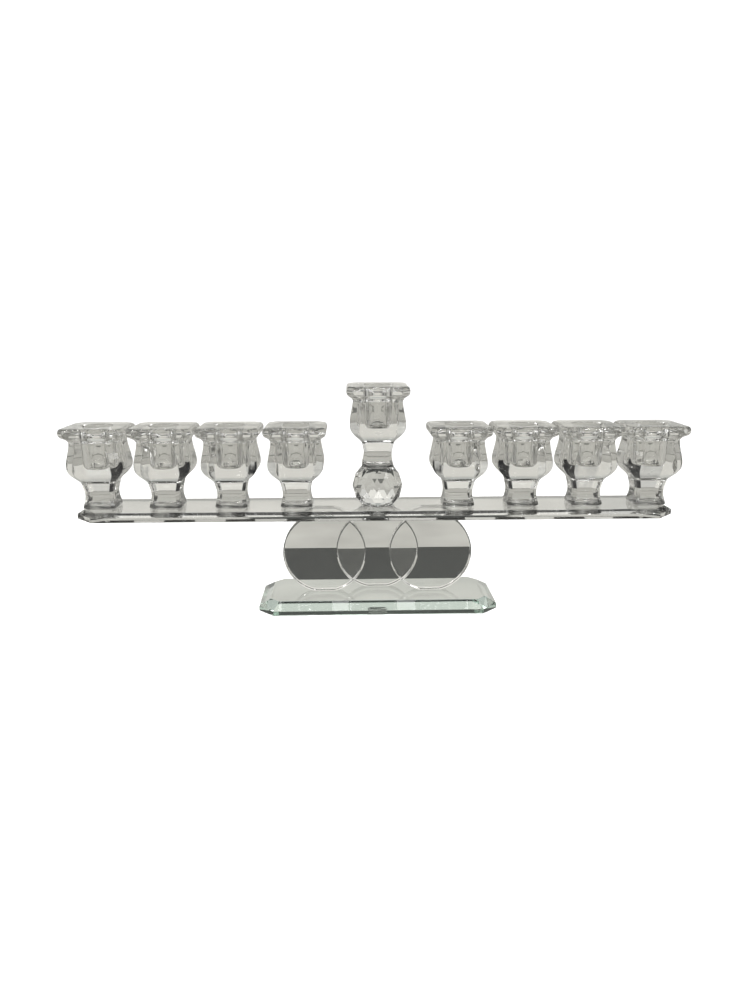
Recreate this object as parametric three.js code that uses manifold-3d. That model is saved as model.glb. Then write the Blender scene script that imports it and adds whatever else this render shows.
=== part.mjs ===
// Nine-light crystal menorah, built the way it is glued up on a bench.
//
// A bevelled base plate carries three upright glass discs, the discs carry a long bevelled
// bar, and the bar carries eight pressed candle cups in a row. In the middle of the bar a
// faceted ball lifts a ninth cup, the shamash, above the others. A thin clear adhesive bond
// joins each piece to the one below it.
//
// Frame: millimetres, +Z up, +X along the bar, -Y towards the front. The origin is on the
// table, under the middle of the base plate.

import * as THREE from 'three';
import { ConvexGeometry } from 'three/addons/geometries/ConvexGeometry.js';
import { mergeVertices } from 'three/addons/utils/BufferGeometryUtils.js';
import Module from 'manifold-3d';

const wasm = await Module();
wasm.setup();

// ---------------------------------------------------------------- driving dimensions

// The adhesive bond between any two pieces, and how far it stays inside the smaller face.
const BOND = { thick: 0.3, inset: 0.5 };

// Plate glass. The edge is the upright part of the side, and the bevel runs from there to
// the top face. The corner is the length cut off each side at 45 degrees.
const PLATE = { length: 170, depth: 65, thick: 8, edge: 3.5, bevel: 8, corner: 11 };
const BAR = { length: 420, depth: 52, thick: 6, edge: 3.6, bevel: 4.3, corner: 13 };

// Upright discs, each with a ground flat at the top and the bottom. The outer two share the
// front layer and the middle one stands close behind them.
const DISC = { radius: 30, height: 58, thick: 8, arris: 0.8, spread: 38.5, frontY: -1, layerGap: 0.3 };
const DISC_ARC_STEPS = 22;

// Faceted ball, ground flat at the top and the bottom, with rings of facet corners.
const BALL = { radius: 18, height: 27.6, around: 12, rings: 5 };

// Candle cup. Widths are across the flats of its square section, heights are from its foot.
const CUP = {
  height: 57.4,
  foot: 22.4,
  waist: 19.5, waistHeight: 8.6,
  collar: 22.6, collarHeight: 18.2,
  belly: 39, bellyHeight: 30,
  neck: 34.4, neckHeight: 46.2,
  rim: 43.4, rimHeight: 54,
  lip: 3,
};
// The width cut off each corner of the section, at the slim foot, at the body and at the rim.
const CUP_CORNER = { foot: 2.2, body: 6.7, rim: 4.7 };
// The candle socket is round, drafted and rounded where its wall meets the floor.
const SOCKET = { mouth: 20.8, floor: 18.4, depth: 28.8, fillet: 3, sides: 24 };

// The row: four cups each side of the middle.
const ROW = { each: 4, first: 57.6, pitch: 46 };

// ---------------------------------------------------------------- heights

const plateTop = PLATE.thick;
const discBottom = plateTop + BOND.thick;
const discTop = discBottom + DISC.height;
const barBottom = discTop + BOND.thick;
const barTop = barBottom + BAR.thick;
const footHeight = barTop + BOND.thick;
const ballTop = footHeight + BALL.height;
const shamashHeight = ballTop + BOND.thick;

// ---------------------------------------------------------------- materials

function glass(name, color, roughness, opacity) {
  return new THREE.MeshStandardMaterial({
    name, color, roughness, metalness: 0, transparent: true, opacity,
  });
}
const plateGlass = glass('plate_glass', 0xcfdcd6, 0.03, 0.4);
const crystal = glass('crystal', 0xe4e6e2, 0.02, 0.35);
const pressedGlass = glass('pressed_glass', 0xdedcd6, 0.06, 0.35);
const adhesive = glass('adhesive', 0xf2f2ec, 0.2, 0.5);

// ---------------------------------------------------------------- helpers

// Points of a rectangle with its corners cut off at 45 degrees, at one height.
function clippedRectangle(halfLength, halfDepth, corner, z) {
  const points = [];
  for (const sx of [-1, 1]) {
    for (const sy of [-1, 1]) {
      points.push(new THREE.Vector3(sx * halfLength, sy * (halfDepth - corner), z));
      points.push(new THREE.Vector3(sx * (halfLength - corner), sy * halfDepth, z));
    }
  }
  return points;
}

// A closed three.js geometry as a manifold solid. Where a turned shape meets its axis, a
// triangle whose corners have merged is left out.
function toSolid(geometry) {
  const bare = geometry.clone();
  bare.deleteAttribute('normal');
  bare.deleteAttribute('uv');
  const merged = mergeVertices(bare);
  const corners = merged.index.array;
  const triangles = [];
  for (let i = 0; i < corners.length; i += 3) {
    const [a, b, c] = corners.slice(i, i + 3);
    if (a !== b && b !== c && c !== a) triangles.push(a, b, c);
  }
  return new wasm.Manifold(new wasm.Mesh({
    numProp: 3,
    vertProperties: Float32Array.from(merged.attributes.position.array),
    triVerts: Uint32Array.from(triangles),
  }));
}

// A manifold solid as a three.js geometry.
function toGeometry(solid) {
  const mesh = solid.getMesh();
  const geometry = new THREE.BufferGeometry();
  geometry.setAttribute('position', new THREE.BufferAttribute(mesh.vertProperties, 3));
  geometry.setIndex(new THREE.BufferAttribute(mesh.triVerts, 1));
  geometry.computeVertexNormals();
  return geometry;
}

function namedMesh(name, geometry, material) {
  const mesh = new THREE.Mesh(geometry, material);
  mesh.name = name;
  return mesh;
}

// ---------------------------------------------------------------- pieces

// A flat plate of glass with clipped corners and one wide bevel round its top face. The
// bevel takes less off the short corner sides, as a real grinding wheel does.
function bevelledPlate({ length, depth, thick, edge, bevel, corner }) {
  const cornerLoss = bevel * (2 - Math.SQRT2);
  return new ConvexGeometry([
    ...clippedRectangle(length / 2, depth / 2, corner, 0),
    ...clippedRectangle(length / 2, depth / 2, corner, edge),
    ...clippedRectangle(length / 2 - bevel, depth / 2 - bevel, corner - cornerLoss, thick),
  ]);
}

// An upright disc with its axis along Y, standing on its lower flat at z = 0.
function flattedDisc({ radius, height, thick, arris }) {
  const flatAngle = Math.asin(height / 2 / radius);
  const outline = new THREE.Shape();
  outline.absarc(0, 0, radius, -flatAngle, flatAngle, false);
  outline.absarc(0, 0, radius, Math.PI - flatAngle, Math.PI + flatAngle, false);
  outline.closePath();
  const disc = new THREE.ExtrudeGeometry(outline, {
    depth: thick - 2 * arris,
    curveSegments: DISC_ARC_STEPS,
    bevelEnabled: true,
    bevelThickness: arris,
    bevelSize: arris,
    bevelOffset: -arris,
    bevelSegments: 1,
  });
  disc.translate(0, 0, -(thick - 2 * arris) / 2);
  disc.rotateX(Math.PI / 2);
  disc.translate(0, 0, height / 2);
  return disc;
}

// A ball with flat triangular facets, standing on its lower flat at z = 0. The facet corners
// lie on the sphere in level rings, and each ring is turned half a step from the one below.
function facetedBall({ radius, height, around, rings }) {
  const flatLatitude = Math.asin(height / 2 / radius);
  const points = [];
  for (let ring = 0; ring < rings; ring += 1) {
    const latitude = flatLatitude * (2 * ring / (rings - 1) - 1);
    for (let k = 0; k < around; k += 1) {
      const turn = 2 * Math.PI * (k + ring / 2) / around;
      points.push(new THREE.Vector3(
        radius * Math.cos(latitude) * Math.cos(turn),
        radius * Math.cos(latitude) * Math.sin(turn),
        height / 2 + radius * Math.sin(latitude),
      ));
    }
  }
  return new ConvexGeometry(points);
}

// The cup's side as points of half width and height, from the middle of its foot to the
// middle of its top: a hollow stem, a sharp undercut, a full belly, a neck and a flared rim.
function cupProfile() {
  const spot = (width, height) => new THREE.Vector2(width / 2, height);
  const stem = new THREE.SplineCurve([
    spot(CUP.foot, 0),
    spot(CUP.waist, CUP.waistHeight),
    spot(CUP.collar, CUP.collarHeight),
  ]);
  const belly = new THREE.SplineCurve([
    spot(CUP.collar + 0.6, CUP.collarHeight + 0.4),
    spot(CUP.belly - 13, CUP.bellyHeight - 9.8),
    spot(CUP.belly - 4.4, CUP.bellyHeight - 5.6),
    spot(CUP.belly, CUP.bellyHeight),
    spot(CUP.belly - 3.2, CUP.bellyHeight + 10.5),
    spot(CUP.neck, CUP.neckHeight),
    spot(CUP.rim - 2.2, CUP.rimHeight - 3.3),
  ]);
  return [
    spot(0, 0),
    ...stem.getPoints(8),
    ...belly.getPoints(18),
    spot(CUP.rim - 0.6, CUP.rimHeight - 2),
    spot(CUP.rim, CUP.rimHeight),
    spot(CUP.rim - 0.6, CUP.rimHeight + 2),
    spot(CUP.rim - CUP.lip, CUP.height),
    spot(0, CUP.height),
  ];
}

// How much of each corner is cut off the section at one point of the side.
function cupCorner({ x: halfWidth, y: height }) {
  if (halfWidth === 0) return 0;
  const { smoothstep, lerp } = THREE.MathUtils;
  const swell = smoothstep(height, CUP.collarHeight, CUP.bellyHeight);
  const flare = smoothstep(height, CUP.neckHeight, CUP.rimHeight);
  const body = lerp(CUP_CORNER.foot, CUP_CORNER.body, swell);
  return lerp(body, CUP_CORNER.rim, flare);
}

// The outer form of a cup. It is turned with eight sides, and each section's eight corners
// are then moved to make four broad faces and four narrow ones.
function cupBody() {
  const profile = cupProfile();
  const body = new THREE.LatheGeometry(profile, 8, Math.PI / 8);
  body.rotateX(Math.PI / 2);
  const position = body.attributes.position;
  for (let i = 0; i < position.count; i += 1) {
    const point = profile[i % profile.length];
    const long = point.x;
    const short = point.x - cupCorner(point);
    const x = position.getX(i);
    const y = position.getY(i);
    const faceIsX = Math.abs(x) > Math.abs(y);
    position.setX(i, Math.sign(x) * (faceIsX ? long : short));
    position.setY(i, Math.sign(y) * (faceIsX ? short : long));
  }
  return body;
}

// The space of a candle socket, from its rounded floor to above the rim.
function socketSpace() {
  const { mouth, floor, depth, fillet, sides } = SOCKET;
  const above = 5;
  const floorHeight = CUP.height - depth;
  const draft = (mouth - floor) / 2 / depth;
  const side = new THREE.Path();
  side.moveTo(0, floorHeight);
  side.lineTo(floor / 2 - fillet, floorHeight);
  side.absarc(floor / 2 - fillet, floorHeight + fillet, fillet, -Math.PI / 2, 0, false);
  side.lineTo(mouth / 2 + draft * above, CUP.height + above);
  side.lineTo(0, CUP.height + above);
  const space = new THREE.LatheGeometry(side.getPoints(4), sides);
  space.rotateX(Math.PI / 2);
  return space;
}

function candleCup() {
  return toGeometry(toSolid(cupBody()).subtract(toSolid(socketSpace())));
}

// A thin flat bond, standing on z = 0, with its corners cut off.
function flatBond(width, depth, corner = 0) {
  const [halfWidth, halfDepth] = [width / 2 - BOND.inset, depth / 2 - BOND.inset];
  return new ConvexGeometry([
    ...clippedRectangle(halfWidth, halfDepth, corner, 0),
    ...clippedRectangle(halfWidth, halfDepth, corner, BOND.thick),
  ]);
}

function roundBond(radius) {
  const bond = new THREE.CylinderGeometry(radius, radius, BOND.thick, SOCKET.sides);
  bond.rotateX(Math.PI / 2);
  bond.translate(0, 0, BOND.thick / 2);
  return bond;
}

// ---------------------------------------------------------------- assembly

const menorah = new THREE.Group();

function place(name, geometry, material, x, y, z) {
  const mesh = namedMesh(name, geometry, material);
  mesh.position.set(x, y, z);
  menorah.add(mesh);
}

place('base_plate', bevelledPlate(PLATE), plateGlass, 0, 0, 0);
place('bar', bevelledPlate(BAR), crystal, 0, 0, barBottom);

const behindY = DISC.frontY + DISC.thick + DISC.layerGap;
const discs = { left: [-DISC.spread, DISC.frontY], middle: [0, behindY], right: [DISC.spread, DISC.frontY] };
const discFlat = 2 * Math.sqrt(DISC.radius ** 2 - (DISC.height / 2) ** 2);
for (const [side, [x, y]] of Object.entries(discs)) {
  place(`disc_${side}`, flattedDisc(DISC), crystal, x, y, discBottom);
  const bond = () => flatBond(discFlat, DISC.thick - 2 * DISC.arris);
  place(`bond_disc_${side}_base`, bond(), adhesive, x, y, plateTop);
  place(`bond_disc_${side}_bar`, bond(), adhesive, x, y, discTop);
}

for (let k = 0; k < 2 * ROW.each; k += 1) {
  const leftOfMiddle = k < ROW.each;
  const step = leftOfMiddle ? k - ROW.each + 1 : k - ROW.each;
  const x = (leftOfMiddle ? -ROW.first : ROW.first) + step * ROW.pitch;
  place(`candle_cup_${k + 1}`, candleCup(), pressedGlass, x, 0, footHeight);
  place(`bond_cup_${k + 1}`, flatBond(CUP.foot, CUP.foot, CUP_CORNER.foot), adhesive, x, 0, barTop);
}

const ballFlatRadius = Math.sqrt(BALL.radius ** 2 - (BALL.height / 2) ** 2);
const ballBondRadius = ballFlatRadius * Math.cos(Math.PI / BALL.around) - BOND.inset;
place('shamash_ball', facetedBall(BALL), crystal, 0, 0, footHeight);
place('bond_ball_bar', roundBond(ballBondRadius), adhesive, 0, 0, barTop);
place('shamash_cup', candleCup(), pressedGlass, 0, 0, shamashHeight);
place('bond_shamash_cup', roundBond(ballBondRadius), adhesive, 0, 0, ballTop);

export default menorah;
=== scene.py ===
# %% [markdown]
# # A nine-light menorah in clear glass
#
# This lesson dresses a finished frame. The frame holds every piece of the menorah at its real
# size and place; here each piece gets the surface that glass really has, a finish that bends
# and tints light, and a plain studio to stand in.

import bpy
import numpy as np
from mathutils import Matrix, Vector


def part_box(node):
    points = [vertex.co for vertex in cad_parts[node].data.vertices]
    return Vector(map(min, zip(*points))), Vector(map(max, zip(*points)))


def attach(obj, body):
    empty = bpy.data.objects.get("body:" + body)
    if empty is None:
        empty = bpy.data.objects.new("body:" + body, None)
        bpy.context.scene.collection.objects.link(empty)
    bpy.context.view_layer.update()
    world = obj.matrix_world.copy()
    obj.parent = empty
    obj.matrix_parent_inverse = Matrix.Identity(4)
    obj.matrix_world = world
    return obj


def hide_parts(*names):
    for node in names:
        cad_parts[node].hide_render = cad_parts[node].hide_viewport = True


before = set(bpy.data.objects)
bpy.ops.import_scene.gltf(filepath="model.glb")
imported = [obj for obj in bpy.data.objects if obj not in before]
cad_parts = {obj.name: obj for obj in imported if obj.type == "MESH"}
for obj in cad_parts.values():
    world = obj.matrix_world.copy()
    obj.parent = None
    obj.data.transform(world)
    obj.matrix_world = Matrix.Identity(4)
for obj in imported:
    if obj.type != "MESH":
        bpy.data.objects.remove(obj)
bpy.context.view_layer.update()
MM = 0.001
BODY = "root"
print("frame loaded:", len(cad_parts), "pieces")

# %% [markdown]
# ## The camera
#
# It comes first, because everything else is judged through it. It stands about half a metre in
# front of the bar and a little above the cups, where the eyes of someone at the table would be,
# and it looks down so that the tops of the base and the bar both show.

# %% The camera
def add_camera(place, pitch, turn, lens):
    """A camera at a place, looking along +Y, pitched down and turned to the right by angles."""
    data = bpy.data.cameras.new("camera")
    data.lens = lens
    data.clip_start = 10 * MM
    camera = bpy.data.objects.new("camera", data)
    bpy.context.scene.collection.objects.link(camera)
    camera.location = place
    camera.rotation_euler = (np.pi / 2 - pitch, 0, -turn)
    bpy.context.scene.camera = camera
    return camera


camera = add_camera(place=(-0.0194, -0.5343, 0.2014), pitch=0.2314, turn=0.033, lens=27.4)
print("camera at", tuple(round(value, 3) for value in camera.location))

# %% [markdown]
# ## Surfaces from rings
#
# Nearly every piece here is a stack of rings: a plate is its outline at a few heights, a disc
# is its outline at a few depths, and a cup is its section carried from the foot, up the side,
# over the rim and down into the socket. One function turns such a stack into a closed mesh.

# %% A stack of rings as a closed mesh
def ring_stack(rings):
    """Vertices and faces of a closed skin through rings, an array of (ring, point, xyz).

    Quads join ring r point p to ring r + 1 point p + 1. The first and last rings are closed
    by one flat face each. Rings that run anticlockwise and climb give faces that look out."""
    count, size = rings.shape[:2]
    ring, point = np.meshgrid(np.arange(count - 1), np.arange(size), indexing="ij")
    ahead = (point + 1) % size
    here, above = ring * size, (ring + 1) * size
    quads = np.stack((here + point, here + ahead, above + ahead, above + point), axis=-1)
    bottom = np.arange(size)[::-1]
    top = np.arange(size) + (count - 1) * size
    return rings.reshape(-1, 3), quads.reshape(-1, 4).tolist() + [bottom.tolist(), top.tolist()]


def make_piece(node, kind, vertices, faces, smooth=True):
    """A mesh object that rides on the one body, in place of a node of the frame.

    The vertices are in millimetres. The piece is called after its node and its kind."""
    name = node.title().replace("_", "") + kind
    mesh = bpy.data.meshes.new(name)
    mesh.from_pydata(np.asarray(vertices) * MM, [], faces)
    mesh.polygons.foreach_set("use_smooth", [smooth] * len(mesh.polygons))
    mesh.validate()
    piece = bpy.data.objects.new(name, mesh)
    bpy.context.scene.collection.objects.link(piece)
    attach(piece, BODY)
    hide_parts(node)
    return piece


def node_box(node):
    """A node's lowest and highest corners, in millimetres."""
    low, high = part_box(node)
    return np.array(low) / MM, np.array(high) / MM


print("ring tools ready")

# %% [markdown]
# ## Plate glass
#
# The base and the bar are cut from sheet glass, their corners are clipped, and a wide bevel is
# ground round the top. A real ground edge is never a perfect line: the wheel leaves a fine
# arris that catches the light. So every edge of the outline is rounded a little.

# %% An outline with clipped and softened corners
EIGHTH = np.pi / 4
PLATE_ARRIS = 0.35
PLATE_CORNER_RADIUS = 0.8


def spokes(facing, points):
    """Unit vectors over an eighth of a turn, centred on each of the angles in facing."""
    angles = facing[:, None] + np.linspace(-EIGHTH / 2, EIGHTH / 2, points)
    return np.stack([np.cos(angles), np.sin(angles)], axis=-1)


def clipped_outline(half_length, half_depth, clip, soft=PLATE_CORNER_RADIUS, steps=4):
    """Points (x, y) of a rectangle with 45 degree clipped corners, anticlockwise.

    Each of the eight corners is an arc of radius soft, tangent to both of its sides: its
    centre is the corner moved in by soft / cos(22.5 deg) along the bisector."""
    corners = []
    for sx, sy in ((1, -1), (1, 1), (-1, 1), (-1, -1)):
        side = (sx * half_length, sy * (half_depth - clip))
        end = (sx * (half_length - clip), sy * half_depth)
        corners += [end, side] if sx * sy < 0 else [side, end]
    facing = EIGHTH * (np.arange(8) - 1.5)
    inward = -np.stack([np.cos(facing), np.sin(facing)], axis=-1)
    centres = np.array(corners) + inward * soft / np.cos(EIGHTH / 2)
    arcs = centres[:, None] + soft * spokes(facing, steps)
    return arcs.reshape(-1, 2)


def plate_rings(half_length, half_depth, thick, clip, edge, bevel, arris=PLATE_ARRIS):
    """Rings of a bevelled plate from its underside to its top face.

    Going in by d takes d * (2 - sqrt 2) off the clip, so that every bevel has one width.
    Each level is (how far in, height); two levels close together make a fine arris."""
    slope = np.arctan2(thick - edge, bevel)
    below, above = arris * 0.4, arris * 0.7
    levels = [
        (arris, 0.0),
        (0.0, arris),
        (0.0, edge - below),
        (below * np.cos(slope), edge + below * np.sin(slope)),
        (bevel - above * np.cos(slope), thick - above * np.sin(slope)),
        (bevel + arris * 0.5, thick),
    ]
    rings = []
    for inset, height in levels:
        inner_clip = clip - inset * (2 - np.sqrt(2))
        outline = clipped_outline(half_length - inset, half_depth - inset, inner_clip)
        rings.append(np.column_stack([outline, np.full(len(outline), height)]))
    return np.array(rings)


# %% The base and the bar
BASE_CUT = {"clip": 11, "edge": 3.5, "bevel": 8}
BAR_CUT = {"clip": 13, "edge": 3.6, "bevel": 4.3}


def make_plate(node, cut):
    """The fine surface of a plate that fills its node's box, with its cut in millimetres."""
    low, high = node_box(node)
    length, depth, thick = high - low
    rings = plate_rings(length / 2, depth / 2, thick, **cut) + [0, 0, low[2]]
    return make_piece(node, "Glass", *ring_stack(rings), smooth=False)


base = make_plate("base_plate", BASE_CUT)
bar = make_plate("bar", BAR_CUT)
print("plates:", base.name, bar.name)

# %% [markdown]
# ## The discs
#
# Each disc is a slice of clear glass with two ground flats, one to stand on and one to carry
# the bar. Its edge has an arris on both sides, which shows as two thin bright rings.

# %% The upright discs
DISC_RADIUS = 30.0
DISC_ARRIS = 0.7


def disc_outline(radius, flat_height, points=256):
    """Points (x, z) round a circle whose top and bottom are cut flat, z = min(r sin, flat)."""
    turn = np.linspace(0, 2 * np.pi, points, endpoint=False)
    x = radius * np.cos(turn)
    z = np.clip(radius * np.sin(turn), -flat_height, flat_height)
    return np.stack([x, z], axis=-1)


def make_disc(node, radius=DISC_RADIUS, arris=DISC_ARRIS):
    """An upright disc in its node's box, from its back face to its front face."""
    low, high = node_box(node)
    _, half_thick, flat = (high - low) / 2
    levels = [
        (arris, half_thick),
        (0.0, half_thick - arris),
        (0.0, -half_thick + arris),
        (arris, -half_thick),
    ]
    rings = []
    for inset, depth in levels:
        x, z = disc_outline(radius - inset, flat - inset).T
        rings.append(np.column_stack([x, np.full(len(x), depth), z]))
    middle = (low + high) / 2
    return make_piece(node, "Glass", *ring_stack(np.array(rings) + middle), smooth=False)


discs = [make_disc(f"disc_{side}") for side in ("left", "middle", "right")]
print("discs:", len(discs))

# %% [markdown]
# ## The candle cups
#
# A cup is pressed in a mould and then fire polished, so it has no sharp edge anywhere. One
# sheet makes it all: it starts in the middle of the foot, runs out and up the waist, swells
# into the belly, flares to the rim, turns over and runs down the round socket to its floor.

# %% The section of a cup
def soft_square(half, clip, soft, arc=4, broad=10, narrow=5):
    """Points (ring, point, xy) of squares of half width `half` with clipped, rounded corners.

    half, clip and soft are arrays with one value a ring. Between the eight corner arcs, each
    side gets evenly spaced points, so that a bend along the cup stays smooth."""
    corners = []
    for k in range(4):
        c, s = np.round(np.cos(np.pi / 2 * k)), np.round(np.sin(np.pi / 2 * k))
        for u, v in ((half, -(half - clip)), (half, half - clip)):
            corners.append(np.stack([u * c - v * s, u * s + v * c], axis=-1))
    facing = EIGHTH * (np.arange(8) - 0.5)
    inward = -np.stack([np.cos(facing), np.sin(facing)], axis=-1)
    centres = np.stack(corners, axis=1) + inward * (soft / np.cos(EIGHTH / 2))[:, None, None]
    arcs = centres[:, :, None] + soft[:, None, None, None] * spokes(facing, arc)
    parts = []
    for k in range(8):
        parts.append(arcs[:, k])
        start, stop = arcs[:, k, -1], arcs[:, (k + 1) % 8, 0]
        steps = broad if k % 2 == 0 else narrow
        along = np.arange(1, steps) / steps
        parts.append(start[:, None] + (stop - start)[:, None] * along[None, :, None])
    return np.concatenate(parts, axis=1)


def smooth_curve(count, knots):
    """A Catmull-Rom curve through knots (point, value), with count points.

    Between knots b and c, with a before and d after, at t from 0 to 1, it is half of
    2b + (c - a) t + (2a - 5b + 4c - d) t^2 + (3b - a - 3c + d) t^3."""
    knots = np.asarray(knots, float)
    padded = np.vstack([2 * knots[0] - knots[1], knots, 2 * knots[-1] - knots[-2]])
    place = np.linspace(0, len(knots) - 1 - 1e-9, count)
    k = place.astype(int)
    t = (place - k)[:, None]
    a, b, c, d = (padded[k + step] for step in range(4))
    square, cube = 2 * a - 5 * b + 4 * c - d, 3 * b - a - 3 * c + d
    return 0.5 * (2 * b + (c - a) * t + square * t**2 + cube * t**3)


print("section of 8 sides")


# %% The path over a cup
def cup_path():
    """Rows of (half width, height, clip, softness, roundness) from the foot to the socket floor.

    Roundness 0 is the clipped square and 1 is a circle, so the path turns from the rim into
    the socket by raising it."""
    under = smooth_curve(6, [(0.4, 0, 0.1, 0.05, 0), (10.7, 0, 2.1, 0.6, 0)])
    foot = smooth_curve(6, [
        (11.0, 0.06, 2.2, 0.6, 0), (11.17, 0.25, 2.2, 0.6, 0), (11.18, 0.6, 2.2, 0.6, 0),
    ])
    stem = smooth_curve(30, [
        (11.1, 1.4, 2.2, 0.6, 0), (10.6, 3.4, 2.2, 0.6, 0), (10.0, 6.2, 2.2, 0.6, 0),
        (9.75, 8.9, 2.2, 0.6, 0), (9.9, 11.7, 2.2, 0.6, 0), (10.5, 14.6, 2.2, 0.6, 0),
        (11.05, 17.2, 2.2, 0.6, 0),
    ])
    undercut = smooth_curve(6, [
        (11.22, 17.85, 2.2, 0.6, 0), (11.4, 18.3, 2.3, 0.6, 0), (11.75, 18.75, 2.5, 0.6, 0),
    ])
    belly = smooth_curve(70, [
        (12.9, 20.1, 2.9, 0.7, 0), (15.2, 22.2, 3.9, 0.8, 0), (17.3, 24.5, 4.9, 0.9, 0),
        (18.85, 27.1, 5.9, 1.0, 0), (19.45, 29.8, 6.7, 1.0, 0), (19.35, 32.6, 6.7, 1.0, 0),
        (18.8, 36, 6.7, 1.0, 0), (17.95, 40.5, 6.7, 1.0, 0), (17.35, 44, 6.6, 1.0, 0),
        (17.15, 46.1, 6.5, 1.0, 0),
    ])
    flare = smooth_curve(14, [
        (17.3, 47.3, 6.4, 1.0, 0), (18.1, 48.8, 6, 0.9, 0), (19.3, 49.9, 5.5, 0.9, 0),
        (20.5, 50.8, 5, 0.8, 0),
    ])
    rim = smooth_curve(22, [
        (21.25, 51.8, 4.8, 0.8, 0), (21.65, 53.3, 4.7, 0.8, 0), (21.65, 54.8, 4.7, 0.8, 0),
        (21.2, 56.2, 4.6, 0.8, 0), (20.3, 57.1, 4.4, 0.8, 0), (19.1, 57.4, 4.2, 0.8, 0),
    ])
    mouth = smooth_curve(18, [
        (15, 57.4, 3.2, 0.8, 0.35), (11.7, 57.38, 3, 0.8, 1), (10.95, 57.15, 3, 0.8, 1),
        (10.5, 56.5, 3, 0.8, 1), (10.36, 55.5, 3, 0.8, 1),
    ])
    socket = smooth_curve(12, [
        (10.25, 53, 3, 0.8, 1), (9.8, 42, 3, 0.8, 1), (9.3, 31.2, 3, 0.8, 1),
    ])
    floor = smooth_curve(20, [
        (9.2, 30.4, 3, 0.8, 1), (9.0, 29.6, 3, 0.8, 1), (8.5, 29.0, 3, 0.8, 1),
        (7.8, 28.68, 3, 0.8, 1), (7.0, 28.6, 3, 0.8, 1), (0.3, 28.6, 3, 0.8, 1),
    ])
    return np.vstack([under, foot, stem, undercut, belly, flare, rim, mouth, socket, floor])


def cup_rings():
    """Rings of the whole cup, standing on z = 0 with its axis on x = y = 0.

    Clip and softness stay small against the half width, so the smallest rings don't fold."""
    half, height, clip, soft, roundness = cup_path().T
    square = soft_square(half, np.minimum(clip, half * 0.45), np.minimum(soft, half * 0.15))
    turn = np.arctan2(square[..., 1], square[..., 0])
    circle = half[:, None, None] * np.stack([np.cos(turn), np.sin(turn)], axis=-1)
    blend = roundness[:, None, None]
    flat = square * (1 - blend) + circle * blend
    level = np.broadcast_to(height[:, None, None], flat.shape[:2] + (1,))
    return np.concatenate([flat, level], axis=-1)


CUP = cup_rings()
print("one cup:", CUP.shape[0], "rings of", CUP.shape[1], "points")

# %% All nine cups
def make_cup(node):
    """A cup standing in the middle of the bottom of its node's box."""
    low, high = node_box(node)
    foot = np.array([(low[0] + high[0]) / 2, (low[1] + high[1]) / 2, low[2]])
    return make_piece(node, "Glass", *ring_stack(CUP + foot))


cups = [make_cup(f"candle_cup_{k}") for k in range(1, 9)] + [make_cup("shamash_cup")]
print("cups:", len(cups))

# %% [markdown]
# ## The faceted ball
#
# The ball under the shamash is cut crystal. Level rings of facet corners lie on the sphere,
# each turned half a step from the one below, and flat triangles join them.

# %% The ball
def faceted_ball(radius, half_height, around, rings):
    """Corners and faces of the ball.

    Ring r lies at latitude l, evenly spaced between the flats, and is turned r / 2 steps:
    x = R cos l cos a, y = R cos l sin a, z = R sin l, with a = 2 pi (k + r / 2) / around."""
    flat = np.arcsin(half_height / radius)
    latitude = np.linspace(-flat, flat, rings)[:, None]
    turn = 2 * np.pi * (np.arange(around)[None] + np.arange(rings)[:, None] / 2) / around
    wide = radius * np.cos(latitude)
    z = np.broadcast_to(radius * np.sin(latitude), turn.shape)
    corners = np.stack([wide * np.cos(turn), wide * np.sin(turn), z], axis=-1)
    ring, k = np.meshgrid(np.arange(rings - 1), np.arange(around), indexing="ij")
    here, ahead = ring * around + k, ring * around + (k + 1) % around
    above, above_back = here + around, (ring + 1) * around + (k - 1) % around
    up = np.stack([here, ahead, above], axis=-1).reshape(-1, 3)
    down = np.stack([here, above, above_back], axis=-1).reshape(-1, 3)
    caps = [list(range(around))[::-1], list(range((rings - 1) * around, rings * around))]
    return corners.reshape(-1, 3), up.tolist() + down.tolist() + caps


def make_ball(node, radius=18.0, around=12, rings=5):
    """The ball in the middle of its node's box, whose height gives the two flats."""
    low, high = node_box(node)
    corners, faces = faceted_ball(radius, (high[2] - low[2]) / 2, around, rings)
    return make_piece(node, "Crystal", corners + (low + high) / 2, faces, smooth=False)


ball = make_ball("shamash_ball")
print("ball facets:", len(ball.data.polygons))

# %% [markdown]
# ## The bonds
#
# A thin film of clear adhesive joins each pair of pieces.

# %% The adhesive bonds
ROUND_BONDS = ("bond_ball_bar", "bond_shamash_cup")
FILM_SINK = 0.04
FILM_INSET = 0.1


def make_bond(node, sink=FILM_SINK, points=48):
    """A film let a little into the glass on both sides, so that no air is between.

    Its outline is x = a |cos t|^p, y = b |sin t|^p with the signs of cos t and sin t: a round
    with p = 1, and a square with soft corners with p = 0.35."""
    low, high = node_box(node)
    half = (high - low) / 2
    turn = np.linspace(0, 2 * np.pi, points, endpoint=False)
    power = 1.0 if node in ROUND_BONDS else 0.35
    x, y = (
        reach * np.sign(wave) * np.abs(wave) ** power
        for reach, wave in ((half[0], np.cos(turn)), (half[1], np.sin(turn)))
    )
    rings = []
    top = half[2] + sink
    for inset, height in ((FILM_INSET, -top), (0, 0), (FILM_INSET, top)):
        scale = 1 - inset / min(half[0], half[1])
        rings.append(np.column_stack([x * scale, y * scale, np.full(points, height)]))
    return make_piece(node, "Film", *ring_stack(np.array(rings) + (low + high) / 2))


bonds = [make_bond(node) for node in sorted(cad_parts) if node.startswith("bond_")]
print("bonds:", len(bonds))

# %% [markdown]
# ## Shader maths as expressions
#
# A finish is a tree of nodes. One class adds a node, and another lets Python's own operators
# do the sums between them.

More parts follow.
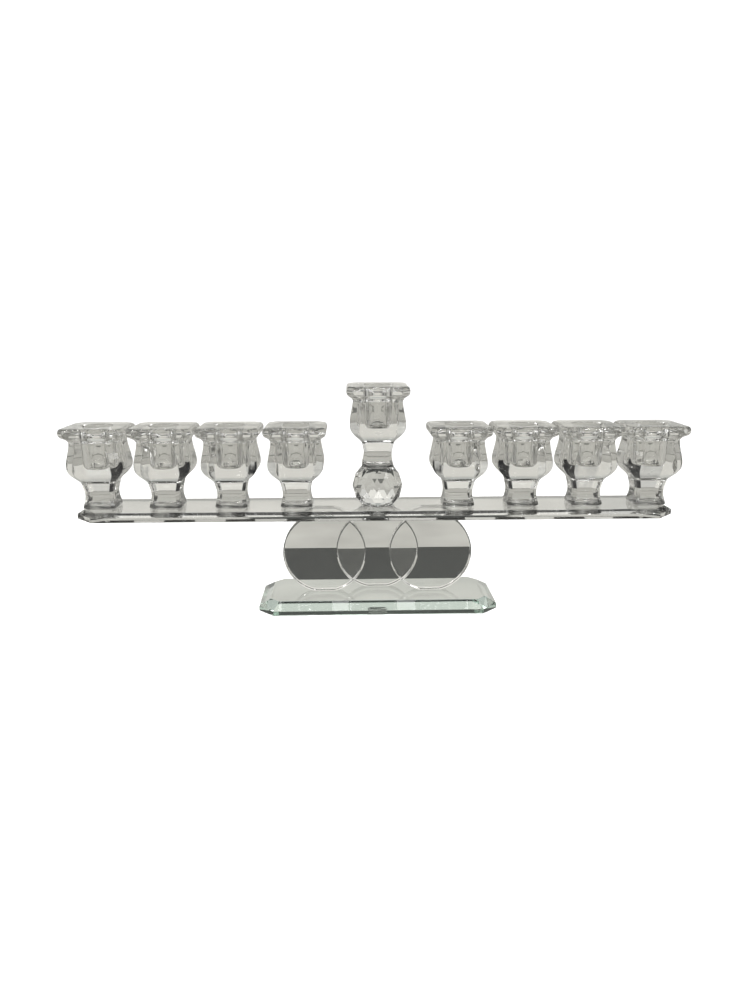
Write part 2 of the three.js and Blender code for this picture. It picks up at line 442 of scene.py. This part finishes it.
# %% A socket that does maths
class Value:
    """A number in a node tree. An expression on values adds the Math nodes that work it out."""

    def __init__(self, finish, socket):
        self.finish = finish
        self.socket = socket

    def _maths(self, operation, first, second):
        return self.finish.node("ShaderNodeMath", {"operation": operation}, [first, second])

    def __add__(self, other):
        return self._maths("ADD", self, other)

    def __radd__(self, other):
        return self._maths("ADD", other, self)

    def __mul__(self, other):
        return self._maths("MULTIPLY", self, other)

    def __rmul__(self, other):
        return self._maths("MULTIPLY", other, self)

    def __pow__(self, other):
        return self._maths("POWER", self, other)

    def __rpow__(self, other):
        return self._maths("POWER", other, self)


class Finish:
    """The node tree of a material or of the world, and the one way to add a node to it."""

    def __init__(self, owner):
        self.owner = owner
        owner.use_nodes = True
        self.tree = owner.node_tree
        self.tree.nodes.clear()

    def node(self, kind, settings=None, values=None, output=0):
        """Adds a node, sets its settings, then its sockets by name or order; gives an output."""
        node = self.tree.nodes.new(kind)
        for key, value in (settings or {}).items():
            setattr(node, key, value)
        pairs = values.items() if isinstance(values, dict) else enumerate(values or [])
        for key, value in pairs:
            if isinstance(value, Value):
                self.tree.links.new(value.socket, node.inputs[key])
            else:
                node.inputs[key].default_value = value
        return Value(self, node.outputs[output])

    def show(self, shader, volume=None, kind="ShaderNodeOutputMaterial"):
        """Ends the tree in an output node, with a surface and perhaps a volume."""
        output = self.tree.nodes.new(kind)
        self.tree.links.new(shader.socket, output.inputs["Surface"])
        if volume:
            self.tree.links.new(volume.socket, output.inputs["Volume"])


print("shader maths ready")


# %% Clear glass
def glass_finish(name, tint, ior, rough, smear, wave_height, wave_size, absorb=None, density=0.0):
    """Glass that bends light, with smears in its polish and a slow wave in its surface."""
    finish = Finish(bpy.data.materials.new(name))
    place = finish.node("ShaderNodeTexCoord", output="Object")
    smears = finish.node("ShaderNodeTexNoise", {"noise_dimensions": "3D"},
                         {"Vector": place, "Scale": 60.0, "Detail": 4.0, "Roughness": 0.6})
    waves = finish.node("ShaderNodeTexNoise", {"noise_dimensions": "3D"},
                        {"Vector": place, "Scale": 1 / wave_size, "Detail": 1.0})
    bump = finish.node("ShaderNodeBump", None,
                       {"Height": waves, "Strength": 1.0, "Distance": wave_height})
    shader = finish.node("ShaderNodeBsdfPrincipled", {"distribution": "MULTI_GGX"}, {
        "Base Color": (*tint, 1), "Roughness": rough + smear * smears ** 3, "IOR": ior,
        "Transmission Weight": 1.0, "Normal": bump,
    })
    fog = absorb and finish.node("ShaderNodeVolumeAbsorption", None,
                                 {"Color": (*absorb, 1), "Density": density})
    finish.show(shader, fog)
    return finish.owner


plate_glass = glass_finish(
    "plate_glass_polished", tint=(0.97, 0.985, 0.975), ior=1.52, rough=0.0, smear=0.04,
    wave_height=0.00002, wave_size=0.03, absorb=(0.45, 0.85, 0.68), density=3.5)
crystal = glass_finish(
    "crystal_cut", tint=(0.985, 0.985, 0.98), ior=1.515, rough=0.0, smear=0.03,
    wave_height=0.00001, wave_size=0.03)
pressed = glass_finish(
    "pressed_glass_fired", tint=(0.995, 0.993, 0.985), ior=1.52, rough=0.0, smear=0.03,
    wave_height=0.00008, wave_size=0.006, absorb=(0.3, 0.3, 0.27), density=7.0)
film = glass_finish(
    "adhesive_clear", tint=(0.97, 0.97, 0.95), ior=1.48, rough=0.05, smear=0.1,
    wave_height=0.00002, wave_size=0.004)


def dress(pieces, material):
    """Gives pieces a material.

    Clear glass throws almost no shadow on a bright floor, so they cast none."""
    for piece in pieces:
        piece.data.materials.append(material)
        piece.visible_shadow = False
        piece.visible_diffuse = False


dress([base], plate_glass)
dress([bar, *discs, ball], crystal)
dress(cups, pressed)
dress(bonds, film)
print("finishes given")

# %% [markdown]
# ## The studio
#
# Clear glass has no look of its own: it shows what stands round it, bent and folded. In an all
# white room it would vanish, so it is shown with grey and black cards that stand where only
# the glass can see them, and each edge picks up a dark line. Here the floor and the air are
# pale for the camera, and rays that come through glass, or off it, see a grey room instead: a
# mottled floor with a dark strip right behind the base and another far behind it, cloudy
# walls with dark panels at the sides, a dark ceiling and a pale wall behind.

# %% Which rays come by way of glass
def either(finish, first, second):
    """The larger of two masks."""
    return finish.node("ShaderNodeMath", {"operation": "MAXIMUM"}, [first, second])


def by_glass(finish):
    """1 for rays that glass has bent or mirrored, and 0 for all others."""
    bent = finish.node("ShaderNodeLightPath", output="Is Transmission Ray")
    mirrored = finish.node("ShaderNodeLightPath", output="Is Glossy Ray")
    return either(finish, bent, mirrored)


def grey(light):
    """An opaque grey of a lightness."""
    return (light, light, light, 1)


def blend_colours(finish, factor, first, second):
    """first where factor is 0 and second where it is 1."""
    return finish.node("ShaderNodeMix", {"data_type": "RGBA"},
                       {"Factor": factor, 6: first, 7: second}, output=2)


def split(finish, vector):
    """The x, y and z of a vector, as values."""
    parts = finish.node("ShaderNodeSeparateXYZ", None, [vector])
    return [Value(finish, socket) for socket in parts.socket.node.outputs]


def band(finish, value, low, high, soft):
    """1 between low and high and 0 outside, with smooth steps of width soft."""
    edge = soft / 2
    rise = finish.node("ShaderNodeMapRange", {"interpolation_type": "SMOOTHSTEP"},
                       {"Value": value, "From Min": low - edge, "From Max": low + edge})
    fall = finish.node("ShaderNodeMapRange", {"interpolation_type": "SMOOTHSTEP"},
                       {"Value": value, "From Min": high + edge, "From Max": high - edge})
    return rise * fall


print("studio tools ready")


# %% The floor
def add_floor(size=4.0, height=-0.2 * MM):
    """A level pale square of side 2 size, a hair under the base so that faces don't meet."""
    corners = [(-size, -size, height), (size, -size, height), (size, size, height),
               (-size, size, height)]
    mesh = bpy.data.meshes.new("floor")
    mesh.from_pydata(corners, [], [[0, 1, 2, 3]])
    floor = bpy.data.objects.new("floor", mesh)
    bpy.context.scene.collection.objects.link(floor)
    finish = Finish(bpy.data.materials.new("floor_paper"))
    place = finish.node("ShaderNodeTexCoord", output="Object")
    x, y, _ = split(finish, place)
    near = band(finish, y, 0.0326, 0.135, 0.0004) * band(finish, x, -0.105, 0.115, 0.01)
    far = band(finish, y, 0.303, 0.33, 0.002) * 0.8
    mottle = finish.node("ShaderNodeTexNoise", None,
                         {"Vector": place, "Scale": 14.0, "Detail": 2.0})
    paper = blend_colours(finish, mottle, (0.22, 0.217, 0.2, 1), (0.46, 0.455, 0.42, 1))
    dark_card = (0.035, 0.037, 0.035, 1)
    card = blend_colours(finish, either(finish, near, far), paper, dark_card)
    colour = blend_colours(finish, by_glass(finish), grey(1.0), card)
    shader = finish.node("ShaderNodeBsdfPrincipled", None,
                         {"Base Color": colour, "Roughness": 0.9, "Specular IOR Level": 0.0})
    finish.show(shader)
    mesh.materials.append(finish.owner)
    return floor


floor = add_floor()
print("floor at", round(floor.data.vertices[0].co.z, 4))


# %% The air round it
def light_air():
    """Pale for the camera and the floor; by way of glass, a grey room with dark panels.

    Places in the room are directions of length 1: side is how far out to the left or right,
    y how far towards the back, and z how far up."""
    world = bpy.data.worlds.new("studio")
    bpy.context.scene.world = world
    air = Finish(world)
    way = air.node("ShaderNodeTexCoord", output="Generated")
    x, y, z = split(air, way)
    side = air.node("ShaderNodeMath", {"operation": "ABSOLUTE"}, [x])
    panels = band(air, side, 0.55, 0.9, 0.03) * band(air, z, -0.2, 0.6, 0.03)
    zenith = band(air, z, 0.88, 1.1, 0.02)
    ceiling = band(air, z, 0.78, 1.1, 0.03)
    behind = band(air, side, -0.1, 0.3, 0.06) * band(air, y, 0.5, 1.1, 0.1)
    before = band(air, y, -1.1, -0.1, 0.1)
    clouds = air.node("ShaderNodeTexNoise", None, {"Vector": way, "Scale": 3.0, "Detail": 2.0})
    clutter = blend_colours(air, clouds, grey(0.02), (1.1, 1.1, 1.05, 1))
    rise = air.node("ShaderNodeMapRange", None, {"Value": z, "From Min": 0.3, "From Max": 0.5})
    backdrop = blend_colours(air, rise, (0.8, 0.79, 0.74, 1), (0.45, 0.47, 0.45, 1))
    room = blend_colours(air, behind, clutter, backdrop)
    room = blend_colours(air, before * 0.5, room, (0.55, 0.54, 0.5, 1))
    room = blend_colours(air, ceiling, room, grey(0.08))
    room = blend_colours(air, either(air, panels, zenith), room, (0.02, 0.02, 0.022, 1))
    colour = blend_colours(air, by_glass(air), grey(1.08), room)
    light = air.node("ShaderNodeBackground", None, {"Color": colour, "Strength": 1.0})
    air.show(light, kind="ShaderNodeOutputWorld")


light_air()
print("air lit")


# %% The lamps
# Each is its name, its place and size in metres, and its power in watts.
SPOT_SIZE, SPOT_POWER = (0.12, 0.12), 1.5
LAMPS = (
    ("lamp_top", (0, 0.25, 1.6), (1.3, 0.35), 6),
    ("lamp_left", (-1.3, -0.7, 1.1), (0.35, 0.9), 4),
    ("lamp_right", (1.3, -0.5, 1.0), (0.35, 0.9), 3),
    ("lamp_front", (0.2, -1.5, 0.9), (0.7, 0.2), 2),
    ("lamp_spot_1", (-0.7, -0.4, 1.3), SPOT_SIZE, SPOT_POWER),
    ("lamp_spot_2", (0.6, -0.9, 1.2), SPOT_SIZE, SPOT_POWER),
    ("lamp_spot_3", (0.1, -0.5, 1.5), SPOT_SIZE, SPOT_POWER),
)


def add_lamp(name, place, size, power, target=(0, 0, 0.08)):
    """A soft rectangular lamp at a place, turned to face a target, unseen by the camera."""
    data = bpy.data.lights.new(name, "AREA")
    data.shape = "RECTANGLE"
    data.size, data.size_y = size
    data.energy = power
    lamp = bpy.data.objects.new(name, data)
    bpy.context.scene.collection.objects.link(lamp)
    lamp.location = place
    x, y, z = np.array(target, float) - np.array(place, float)
    lamp.rotation_euler = (np.arctan2(np.hypot(x, y), -z), 0, np.arctan2(y, x) - np.pi / 2)
    lamp.visible_camera = False


for lamp_row in LAMPS:
    add_lamp(*lamp_row)
print("lamps:", len(LAMPS))

# %% How light is followed and shown
scene = bpy.context.scene
scene.cycles.max_bounces = 16
scene.cycles.transmission_bounces = 16
scene.cycles.glossy_bounces = 16
scene.cycles.transparent_max_bounces = 32
scene.cycles.caustics_refractive = False
scene.cycles.caustics_reflective = False
scene.view_settings.view_transform = "Standard"
print("bounces:", scene.cycles.max_bounces)
